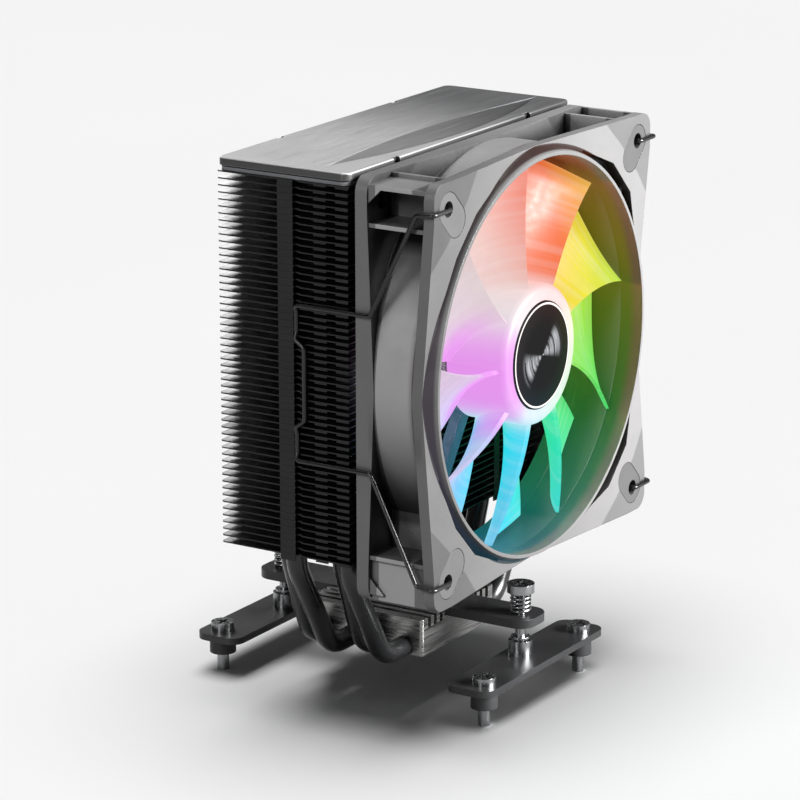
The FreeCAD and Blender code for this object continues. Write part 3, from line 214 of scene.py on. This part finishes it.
def moulded(name, tone, roughness, grain=0.6e-5, edge_tone=2.2, tint=COOL):
    """Satin moulded plastic: a fine spark-eroded grain, faint flow marks and edges set by edge_tone, lighter
    worn edges above one and a painted shade outline below one.
    """
    finish = Finish(name, {"IOR": 1.5, "Specular IOR Level": 0.25})
    normal = finish.rounded(0.35 * MM)
    flow = finish.noise(45, 4, (1, 1, 2.5))
    speckle = finish.noise(5200, 2)
    colour = finish.mix(flow, grey(tone * 0.86, tint), grey(tone * 1.12, tint))
    colour = finish.mix(finish.spread(speckle, 0.45, 0.8, 0, 0.35), colour, grey(tone * 1.5, tint))
    patchy = finish.spread(finish.noise(320, 3), 0.3, 0.7, 0.25, 1)
    edge_mark = finish.product(finish.edges(normal, 3.0), patchy)
    finish.wear("Base Color", finish.mix(edge_mark, colour, grey(tone * edge_tone, tint)))
    rough = finish.spread(finish.noise(160, 5), 0.3, 0.7, roughness - 0.05, roughness + 0.07)
    finish.wear("Roughness", finish.calc("SUBTRACT", rough, finish.product(edge_mark, 0.12)))
    finish.relief(speckle, grain, normal)
    return finish.material


def fan_plastic():
    """The fan frame's plastic: painted shade makes it paler to the right, dark in pockets, in the corner
    windows and low on the barrel, and a painted glow stands in for the light from the bore.
    """
    tone = 0.095
    finish = Finish("frame_plastic", {"IOR": 1.5, "Specular IOR Level": 0.2})
    normal = finish.rounded(0.35 * MM)
    tint = (1.0, 0.985, 0.985)
    speckle = finish.noise(5200, 2)
    colour = finish.mix(finish.noise(45, 4, (1, 1, 2.5)), grey(tone * 0.88, tint), grey(tone * 1.1, tint))
    colour = finish.mix(finish.spread(speckle, 0.45, 0.8, 0, 0.35), colour, grey(tone * 1.4, tint))
    patchy = finish.spread(finish.noise(320, 3), 0.3, 0.7, 0.25, 1)
    edge_mark = finish.product(finish.edges(normal, 3.0), patchy)
    colour = finish.mix(edge_mark, colour, grey(tone * 1.5, tint))
    across, depth, up = finish.from_fan()
    radius, turn = finish.around_fan()
    # painted shade: the frame darkens towards the left and is paler to the right
    colour = finish.mix(finish.spread(across, 60 * MM, -60 * MM, 0, 0.5), colour, grey(0.0))
    reach = finish.calc("ADD", finish.calc("ABSOLUTE", across), finish.calc("ABSOLUTE", up))
    # the front plate's corners, cut off by a diagonal, are a shade darker
    beyond = finish.spread(reach, 95.4 * MM, 96.2 * MM, 0, 0.36)
    corner = finish.product(beyond, finish.spread(finish.slope("Y"), -0.5, -0.9))
    colour = finish.mix(corner, colour, grey(0.0))
    # the outside of the ring, seen through the plate's corner windows: painted shade, nearly black, with a
    # faint painted glow in the lights' colours
    gap = finish.product(finish.spread(depth, 0.4 * MM, 1.4 * MM), finish.spread(depth, 9 * MM, 6 * MM))
    gap = finish.product(gap, finish.spread(radius, 57.2 * MM, 57.8 * MM))
    gap = finish.product(gap, finish.spread(radius, 60.0 * MM, 59.8 * MM))
    colour = finish.mix(finish.product(gap, 0.95), colour, grey(0.001))
    # painted shade on the outside of the barrel, darker towards the bottom
    barrel = finish.product(
        finish.spread(depth, 3.4 * MM, 4.4 * MM), finish.spread(depth, 21.6 * MM, 20.6 * MM)
    )
    barrel = finish.product(barrel, finish.spread(radius, 57.9 * MM, 58.2 * MM))
    barrel = finish.product(barrel, finish.spread(radius, 63.0 * MM, 61.0 * MM))
    barrel = finish.product(barrel, finish.spread(up, 2 * MM, -38 * MM, 0, 0.88))
    colour = finish.mix(barrel, colour, grey(0.001))
    # the bore round the blades: painted shade, with the fan's lights painted on it as glow
    inside = finish.spread(radius, 58.0 * MM, 57.6 * MM)
    bore = finish.product(inside, finish.spread(depth, 1.5 * MM, 5 * MM))
    colour = finish.mix(finish.product(bore, 0.8), colour, grey(0.004))
    # painted light: the bore and the ring glow in the colours of the fan's lights
    glow = finish.calc("ADD", finish.product(gap, 0.05), finish.product(bore, 0.13))
    finish.wear("Emission Color", finish.ramp(turn, LIGHT_RING))
    finish.wear("Emission Strength", glow)
    # painted shade: pockets and narrow gaps darkened almost to black
    dark = finish.product(finish.pockets(24 * MM), 0.92)
    finish.wear("Base Color", finish.mix(dark, colour, grey(0.001)))
    rough = finish.spread(finish.noise(160, 5), 0.3, 0.7, 0.33, 0.45)
    finish.wear("Roughness", finish.calc("SUBTRACT", rough, finish.product(edge_mark, 0.12)))
    finish.relief(speckle, 0.6e-5, normal)
    return finish.material


def coated(name, tone, roughness, edge_tone):
    """Thin black coating on metal: smooth, a little uneven, worn to brighter metal on its edges."""
    finish = Finish(name, {"IOR": 1.5, "Specular IOR Level": 0.4})
    normal = finish.rounded(0.15 * MM)
    cloud = finish.noise(70, 5)
    peel = finish.noise(900, 2)
    colour = finish.mix(cloud, grey(tone * 0.7, COOL), grey(tone * 1.4, COOL))
    worn = finish.product(finish.edges(normal, 2.6), finish.spread(finish.noise(260, 4), 0.42, 0.62))
    finish.wear("Base Color", finish.mix(worn, colour, grey(edge_tone, COOL)))
    finish.wear("Metallic", finish.product(worn, 0.7))
    finish.wear("Roughness", finish.spread(cloud, 0.3, 0.7, roughness - 0.05, roughness + 0.08))
    finish.relief(peel, 0.4e-5, normal)
    return finish.material


# How much darker and brighter a stain makes bare metal.
STAIN = 0.12


def machined(name, colour, roughness, stretch=(1, 1, 1), scale=900, depth=0.3e-5):
    """Bare metal with tool marks along one direction, and a faint stain."""
    finish = Finish(name, {"Metallic": 1.0})
    normal = finish.rounded(0.12 * MM)
    marks = finish.noise(scale, 4, stretch)
    cloud = finish.noise(60, 4)
    dark = tuple(part * (1 - STAIN) for part in colour)
    bright = tuple(min(1.0, part * (1 + STAIN)) for part in colour)
    base = finish.mix(cloud, (*dark, 1), (*bright, 1))
    base = finish.mix(finish.spread(marks, 0.35, 0.7, 0, 0.3), base, (*dark, 1))
    finish.wear("Base Color", base)
    finish.wear("Roughness", finish.spread(marks, 0.3, 0.7, roughness - 0.08, roughness + 0.1))
    finish.relief(marks, depth, normal)
    return finish.material


def black_fins():
    """Black lacquered sheet aluminium: rolling marks and thin spots."""
    finish = Finish("fin_black", {"IOR": 1.5, "Specular IOR Level": 0.22})
    rolled = finish.noise(1400, 4, (0.08, 1, 1))
    cloud = finish.noise(90, 4)
    colour = finish.mix(cloud, grey(0.003), grey(0.008, COOL))
    thin = finish.product(finish.spread(rolled, 0.55, 0.8), finish.spread(cloud, 0.45, 0.7))
    finish.wear("Base Color", finish.mix(finish.product(thin, 0.5), colour, grey(0.03)))
    finish.wear("Roughness", finish.spread(cloud, 0.3, 0.7, 0.3, 0.42))
    finish.relief(rolled, 0.15e-5)
    return finish.material


def brushed_cover():
    """Anodised sheet, brushed along its length, with bright edges; painted shade darkens its facet and
    sides, and a painted reflection makes it paler towards the left.
    """
    finish = Finish("cover_brushed", {"Metallic": 0.6})
    normal = finish.rounded(0.4 * MM)
    strokes = finish.noise(2600, 5, (0.02, 1, 1))
    broad = finish.noise(420, 3, (0.03, 1, 1))
    cloud = finish.noise(22, 3)
    tone = finish.ramp(
        finish.calc("ADD", finish.product(strokes, 0.6), finish.product(broad, 0.4)),
        [(0.3, (0.055, 0.056, 0.058)), (0.55, (0.08, 0.081, 0.083)), (0.8, (0.11, 0.111, 0.114))],
    )
    tone = finish.mix(finish.spread(cloud, 0.3, 0.7, 0, 0.25), tone, grey(0.14))
    # painted reflection: the top is painted paler towards the left
    tone = finish.mix(finish.spread(finish.along("X"), 52 * MM, -30 * MM, 0, 0.85), tone, grey(0.36))
    level = finish.slope("Z")
    # painted shade: the sloped facet is painted darker
    facet = finish.product(finish.spread(level, 0.99998, 0.9995), finish.spread(level, 0.97, 0.985))
    tone = finish.mix(finish.product(facet, 0.55), tone, grey(0.02))
    # painted shade: the steep sides are painted darker
    tone = finish.mix(finish.spread(level, 0.6, 0.2, 0, 0.92), tone, grey(0.02))
    finish.wear("Base Color", finish.mix(finish.edges(normal, 1.2), tone, grey(0.45, COOL)))
    finish.wear("Roughness", finish.spread(strokes, 0.25, 0.75, 0.3, 0.46))
    finish.relief(finish.calc("ADD", strokes, broad), 0.35e-5, normal)
    return finish.material


# Colours of the light round the disc, from the left anticlockwise: left, bottom, right, top.
LIGHT_RING = [
    (0.00, (0.76, 0.58, 0.80)),
    (0.08, (0.66, 0.60, 0.92)),
    (0.16, (0.20, 0.62, 0.98)),
    (0.25, (0.03, 0.80, 0.98)),
    (0.34, (0.04, 0.88, 0.45)),
    (0.42, (0.08, 0.80, 0.10)),
    (0.50, (0.42, 0.82, 0.03)),
    (0.56, (0.88, 0.80, 0.03)),
    (0.62, (0.93, 0.52, 0.04)),
    (0.67, (0.96, 0.18, 0.05)),
    (0.75, (0.96, 0.26, 0.18)),
    (0.81, (0.90, 0.58, 0.53)),
    (0.88, (0.82, 0.68, 0.70)),
    (1.00, (0.76, 0.58, 0.80)),
]


def lit_blades():
    """Milky plastic with a painted glow: the hub's ring of coloured lights is painted on as emission out to
    the blade tips.
    """
    finish = Finish("blade_lit", {"IOR": 1.49, "Specular IOR Level": 0.15})
    radius, turn = finish.around_fan()
    swirl = finish.calc("ADD", turn, finish.product(radius, -0.9))
    swirl = finish.calc("FRACT", finish.calc("ADD", swirl, 1.035))
    hue = finish.ramp(swirl, LIGHT_RING)
    streak = finish.arcs(finish.product(turn, 5.0), finish.product(radius, 420.0), 2.0)
    glow = finish.spread(radius, 17 * MM, 25 * MM, 0.75, 0.0)
    hue = finish.mix(glow, hue, (0.95, 0.9, 0.93, 1))
    leftward = finish.calc("COSINE", finish.product(finish.calc("ADD", turn, -0.03), 2 * math.pi))
    pink = finish.product(finish.spread(leftward, 0.55, 1.0), finish.spread(radius, 34 * MM, 24 * MM))
    hue = finish.mix(finish.product(pink, 0.8), hue, (0.88, 0.22, 0.95, 1))
    hue = finish.mix(finish.spread(streak, 0.35, 0.75, 0, 0.14), hue, (0.95, 0.95, 0.97, 1))
    milk = finish.noise(300, 3)
    finish.wear("Base Color", finish.mix(finish.spread(milk, 0.3, 0.7, 0.975, 0.985), hue, grey(0.003)))
    # painted light: the blades glow in the lights' colours, whitest near the hub
    finish.wear("Emission Color", hue)
    finish.wear("Emission Strength", finish.spread(radius, 22 * MM, 56 * MM, 0.88, 0.8))
    finish.wear("Roughness", finish.spread(milk, 0.3, 0.7, 0.4, 0.5))
    finish.relief(finish.noise(1400, 2), 0.3e-5)
    return finish.material


def spun_disc():
    """Gloss black disc with fine turned rings, a painted sheen on them on both sides of the middle, and a
    painted glow on its face and rim.
    """
    finish = Finish("hub_disc_spun", {"Specular IOR Level": 0.03})
    radius, turn = finish.around_fan()
    groove = finish.arcs(finish.product(radius, 1100.0), finish.product(turn, 2.0), 3.0)
    # painted highlight: two bright lobes on the rings, either side of the middle
    lobes = finish.calc("COSINE", finish.product(finish.calc("ADD", turn, -0.05), 4 * math.pi))
    painted_sheen = finish.product(finish.spread(lobes, 0.3, 1.0), finish.spread(groove, 0.35, 0.62, 0.02, 1.0))
    painted_sheen = finish.product(painted_sheen, finish.spread(radius, 11.5 * MM, 8 * MM))
    # painted light: a thin bright ring at the rim that glows
    rim_glow = finish.product(
        finish.spread(radius, 14.5 * MM, 14.65 * MM), finish.spread(radius, 15.2 * MM, 15.05 * MM)
    )
    base = finish.mix(painted_sheen, grey(0.001), grey(0.09, COOL))
    finish.wear("Base Color", finish.mix(rim_glow, base, grey(0.12, WARM)))
    # painted light: a faint glow of the fan's lights over the disc, stronger towards the rim
    spill_glow = finish.spread(radius, 8 * MM, 15 * MM, 0.002, 0.02)
    finish.wear("Emission Color", finish.mix(rim_glow, finish.ramp(turn, LIGHT_RING), (1.0, 0.9, 0.9, 1)))
    finish.wear("Emission Strength", finish.calc("ADD", spill_glow, finish.product(rim_glow, 0.5)))
    finish.wear("Roughness", finish.spread(groove, 0.3, 0.7, 0.3, 0.5))
    finish.relief(groove, 0.5e-5)
    return finish.material


def circuit():
    """Solder mask over faint tracks and pads."""
    finish = Finish("board_mask", {"Coat Weight": 0.5, "Coat Roughness": 0.15})
    cells = finish.add("TexVoronoi", {"Vector": finish.place, "Scale": 900.0}, distance="MANHATTAN")
    tracks = finish.spread(cells.outputs["Distance"], 0.35, 0.4)
    base = finish.mix(finish.noise(120), (0.012, 0.05, 0.03, 1), (0.02, 0.09, 0.05, 1))
    finish.wear("Base Color", finish.mix(finish.product(tracks, 0.5), base, (0.07, 0.2, 0.1, 1)))
    finish.wear("Roughness", finish.spread(finish.noise(400), 0.3, 0.7, 0.3, 0.45))
    finish.relief(tracks, 2e-5)
    return finish.material


def winding():
    """Layers of enamelled copper wire."""
    finish = Finish("coil_wire", {"Metallic": 0.9, "Coat Weight": 0.5, "Coat Roughness": 0.1})
    wave = finish.bands(900.0, 0.6)
    finish.wear("Base Color", finish.mix(wave, (0.25, 0.08, 0.03, 1), (0.72, 0.30, 0.12, 1)))
    finish.wear("Roughness", finish.spread(finish.noise(500), 0.3, 0.7, 0.25, 0.4))
    finish.relief(wave, 6e-5)
    return finish.material


def laminated():
    """Stacked steel sheets, seen as fine lines along the fan's axis."""
    finish = Finish("core_sheets", {"Metallic": 0.9})
    wave = finish.bands(650.0)
    rust = finish.spread(finish.noise(220, 5), 0.5, 0.8, 0, 0.4)
    base = finish.mix(finish.spread(wave, 0.1, 0.5), grey(0.10), grey(0.42, COOL))
    finish.wear("Base Color", finish.mix(rust, base, (0.16, 0.10, 0.07, 1)))
    finish.wear("Roughness", finish.spread(finish.noise(300), 0.3, 0.7, 0.35, 0.5))
    finish.relief(wave, 4e-5)
    return finish.material


FINISHES = {
    "cold_plate": machined("plate_nickel", (0.26, 0.26, 0.255), 0.28, (0.04, 0.04, 1), 1600),
    "pipe": coated("pipe_black", 0.005, 0.24, 0.04),
    "fin": black_fins(),
    "cover": brushed_cover(),
    "cover_plate": coated("cover_plate_grey", 0.10, 0.34, 0.3),
    "frame": fan_plastic(),
    # painted shade: the pads' edges are painted dark, an outline for the narrow play round each pad
    "pad": moulded("pad_rubber", 0.04, 0.5, 1.2e-5, 0.08, tint=(1.0, 0.985, 0.985)),
    "blade": lit_blades(),
    "hub_disc": spun_disc(),
    "clip_wire": coated("clip_black", 0.003, 0.3, 0.05),
    "zinc": machined("zinc_plate", (0.26, 0.265, 0.27), 0.26, (1, 1, 0.2), 1200),
    "bracket": coated("bracket_black", 0.007, 0.36, 0.06),
    "spacer": moulded("spacer_nylon", 0.012, 0.5, 0.8e-5),
    "yoke": machined("yoke_steel", (0.48, 0.48, 0.49), 0.34),
    "magnet": moulded("magnet_ferrite", 0.06, 0.6, 2e-5, 1.6, WARM),
    "shaft": machined("shaft_ground", (0.70, 0.70, 0.71), 0.14, (1, 0.1, 1), 1500),
    "bronze": machined("bronze_sintered", (0.60, 0.38, 0.18), 0.42, (1, 1, 1), 2400, 1e-5),
    "core": laminated(),
    "coil": winding(),
    "board": circuit(),
    "lamp": moulded("lamp_lens", 0.75, 0.2, 0.2e-5, 1.1, WARM),
    "label": machined("label_film", (0.62, 0.63, 0.65), 0.3, (1, 1, 0.05), 700, 0.1e-5),
}


def smooth_by_angle():
    """A modifier tree that joins the split corners of a CAD mesh and shades its round faces smooth."""
    tree = bpy.data.node_groups.new("smooth_faces", "GeometryNodeTree")
    tree.interface.new_socket("Geometry", in_out="INPUT", socket_type="NodeSocketGeometry")
    tree.interface.new_socket("Geometry", in_out="OUTPUT", socket_type="NodeSocketGeometry")
    start = tree.nodes.new("NodeGroupInput")
    end = tree.nodes.new("NodeGroupOutput")
    weld = tree.nodes.new("GeometryNodeMergeByDistance")
    weld.inputs["Distance"].default_value = 1e-6
    faces = tree.nodes.new("GeometryNodeSetShadeSmooth")
    sharp = tree.nodes.new("GeometryNodeSetShadeSmooth")
    sharp.domain = "EDGE"
    sharp.inputs["Shade Smooth"].default_value = False
    angle = tree.nodes.new("GeometryNodeInputMeshEdgeAngle")
    wide = tree.nodes.new("FunctionNodeCompare")
    wide.inputs[1].default_value = SMOOTH_ANGLE
    links = tree.links
    links.new(start.outputs[0], weld.inputs[0])
    links.new(weld.outputs[0], faces.inputs[0])
    links.new(faces.outputs[0], sharp.inputs[0])
    links.new(angle.outputs["Unsigned Angle"], wide.inputs[0])
    links.new(wide.outputs[0], sharp.inputs["Selection"])
    links.new(sharp.outputs[0], end.inputs[0])
    return tree


def dress(item, slot):
    """Gives an object its finish."""
    item.data.materials.clear()
    item.data.materials.append(FINISHES[slot])


SMOOTH = smooth_by_angle()
for part in frame["record"]["subparts"]:
    cad_object = NODES[part["node"]]
    dress(cad_object, part["material_slot"])
    modifier = cad_object.modifiers.new("smooth", "NODES")
    modifier.node_group = SMOOTH


# ---------------------------------------------------------------- floor, lights and camera

def make_floor():
    grid = bmesh.new()
    bmesh.ops.create_grid(grid, x_segments=2, y_segments=2, size=FLOOR_REACH)
    mesh = bpy.data.meshes.new("floor")
    grid.to_mesh(mesh)
    grid.free()
    floor = bpy.data.objects.new("floor", mesh)
    floor.location.z = FLOOR
    bpy.context.scene.collection.objects.link(floor)
    finish = Finish("floor_pale", {"Roughness": 0.75})
    finish.wear("Base Color", finish.mix(finish.noise(3), grey(0.84), grey(0.87)))
    mesh.materials.append(finish.material)
    wash = bpy.data.lights.new("floor_wash", "SUN")
    wash.energy = FLOOR_SUN
    wash.angle = FLOOR_SUN_ANGLE
    item = bpy.data.objects.new("floor_wash", wash)
    bpy.context.scene.collection.objects.link(item)
    only_for(item, "floor_only", floor)


def only_for(item, name, *lit):
    """Limits a light to some objects, as a flag or a card would on a set."""
    group = bpy.data.collections.new(name)
    for thing in lit:
        group.objects.link(thing)
    item.light_linking.receiver_collection = group


def soft_light(name, spot, aim, width, height, power):
    lamp = bpy.data.lights.new(name, "AREA")
    lamp.shape = "RECTANGLE"
    lamp.size, lamp.size_y = width, height
    lamp.energy = power
    item = bpy.data.objects.new(name, lamp)
    item.location = spot
    item.rotation_euler = (Vector(aim) - Vector(spot)).to_track_quat("-Z", "Y").to_euler()
    item.visible_camera = False
    bpy.context.scene.collection.objects.link(item)
    return item


def make_world():
    world = bpy.data.worlds.new("studio")
    world.use_nodes = True
    bpy.context.scene.world = world
    tree = world.node_tree
    seen = tree.nodes.new("ShaderNodeLightPath").outputs["Is Camera Ray"]
    strength = tree.nodes.new("ShaderNodeMapRange")
    strength.inputs["To Min"].default_value = WORLD_LIGHT
    strength.inputs["To Max"].default_value = WORLD_SEEN
    background = tree.nodes["Background"]
    background.inputs["Color"].default_value = (1, 1, 1, 1)
    tree.links.new(seen, strength.inputs["Value"])
    tree.links.new(strength.outputs["Result"], background.inputs["Strength"])


def make_camera():
    """The eye stands where the fitted view had it, 1.1 m away, and looks at the middle of the object."""
    low, high = cad_bounds
    aim = (low + high) / 2 + Vector((0, 0, AIM_LIFT))
    lens = bpy.data.cameras.new("camera")
    lens.lens = LENS_LENGTH
    lens.sensor_width = SENSOR_WIDTH
    lens.clip_end = 40
    camera = bpy.data.objects.new("camera", lens)
    look = (aim - EYE).to_track_quat("-Z", "Y").to_matrix().to_4x4()
    camera.matrix_world = Matrix.Translation(EYE) @ look @ Matrix.Rotation(LEAN, 4, "Z")
    bpy.context.scene.collection.objects.link(camera)
    bpy.context.scene.camera = camera


def lamp_glow():
    """The lamps round the motor throw their colours between the blades and onto the frame."""
    for step in range(LAMP_COUNT):
        turn = step / LAMP_COUNT
        angle = 2 * math.pi * (turn - 0.5)
        near = min(LIGHT_RING, key=lambda stop: abs(stop[0] - turn))
        lamp = bpy.data.lights.new("lamp_glow", "POINT")
        lamp.shadow_soft_size = LAMP_SIZE
        lamp.color = near[1]
        lamp.energy = LAMP_POWER
        lamp.specular_factor = 0.0
        item = bpy.data.objects.new("lamp_glow", lamp)
        across, up = LAMP_REACH
        item.location = FAN_CENTRE + Vector((math.cos(angle) * across, LAMP_DEPTH, math.sin(angle) * up))
        item.visible_camera = False
        item.visible_glossy = False
        bpy.context.scene.collection.objects.link(item)
        only_for(item, "fan_lit", *(NODES[name] for name in ("fan_bezel", "fan_duct", "fan_rear_frame")))


MIDDLE = (0, -0.01, 0.08)
STUDIO = (
    # name, place, aim, width, height, power
    ("key", (0.35, -1.35, 0.62), MIDDLE, 0.7, 0.6, 165),
    ("top", (0.1, 0.3, 1.5), MIDDLE, 0.9, 0.9, 14),
    ("left", (-1.5, 0.1, 0.42), MIDDLE, 0.35, 0.7, 11),
    ("back", (0.55, 0.95, 0.62), (-0.05, 0.02, 0.15), 0.7, 0.4, 4.5),
)
# Cards that light a few nodes only: the fins' rear edges, the outside of the barrel, and the flanges' sides.
FAN_SIDE = (0, -0.04, 0.11)
CARDS = (
    # light, lit nodes
    (("fin_card", (1.27, 0.8, 0.55), MIDDLE, 1.2, 0.34, 11), ("fin_stack",)),
    (("duct_card", (-1.1, -0.25, 0.75), FAN_SIDE, 0.4, 0.35, 75), ("fan_duct",)),
    (("side_card", (-1.1, 0.12, 0.7), FAN_SIDE, 0.4, 0.35, 18), ("fan_bezel", "fan_rear_frame")),
)
make_floor()
make_world()
make_camera()
for light in STUDIO:
    only_for(soft_light(*light), light[0] + "_lit", *NODES.values())
for light, lit in CARDS:
    only_for(soft_light(*light), light[0] + "_lit", *(NODES[name] for name in lit))
lamp_glow()
bpy.context.scene.view_settings.view_transform = "Standard"
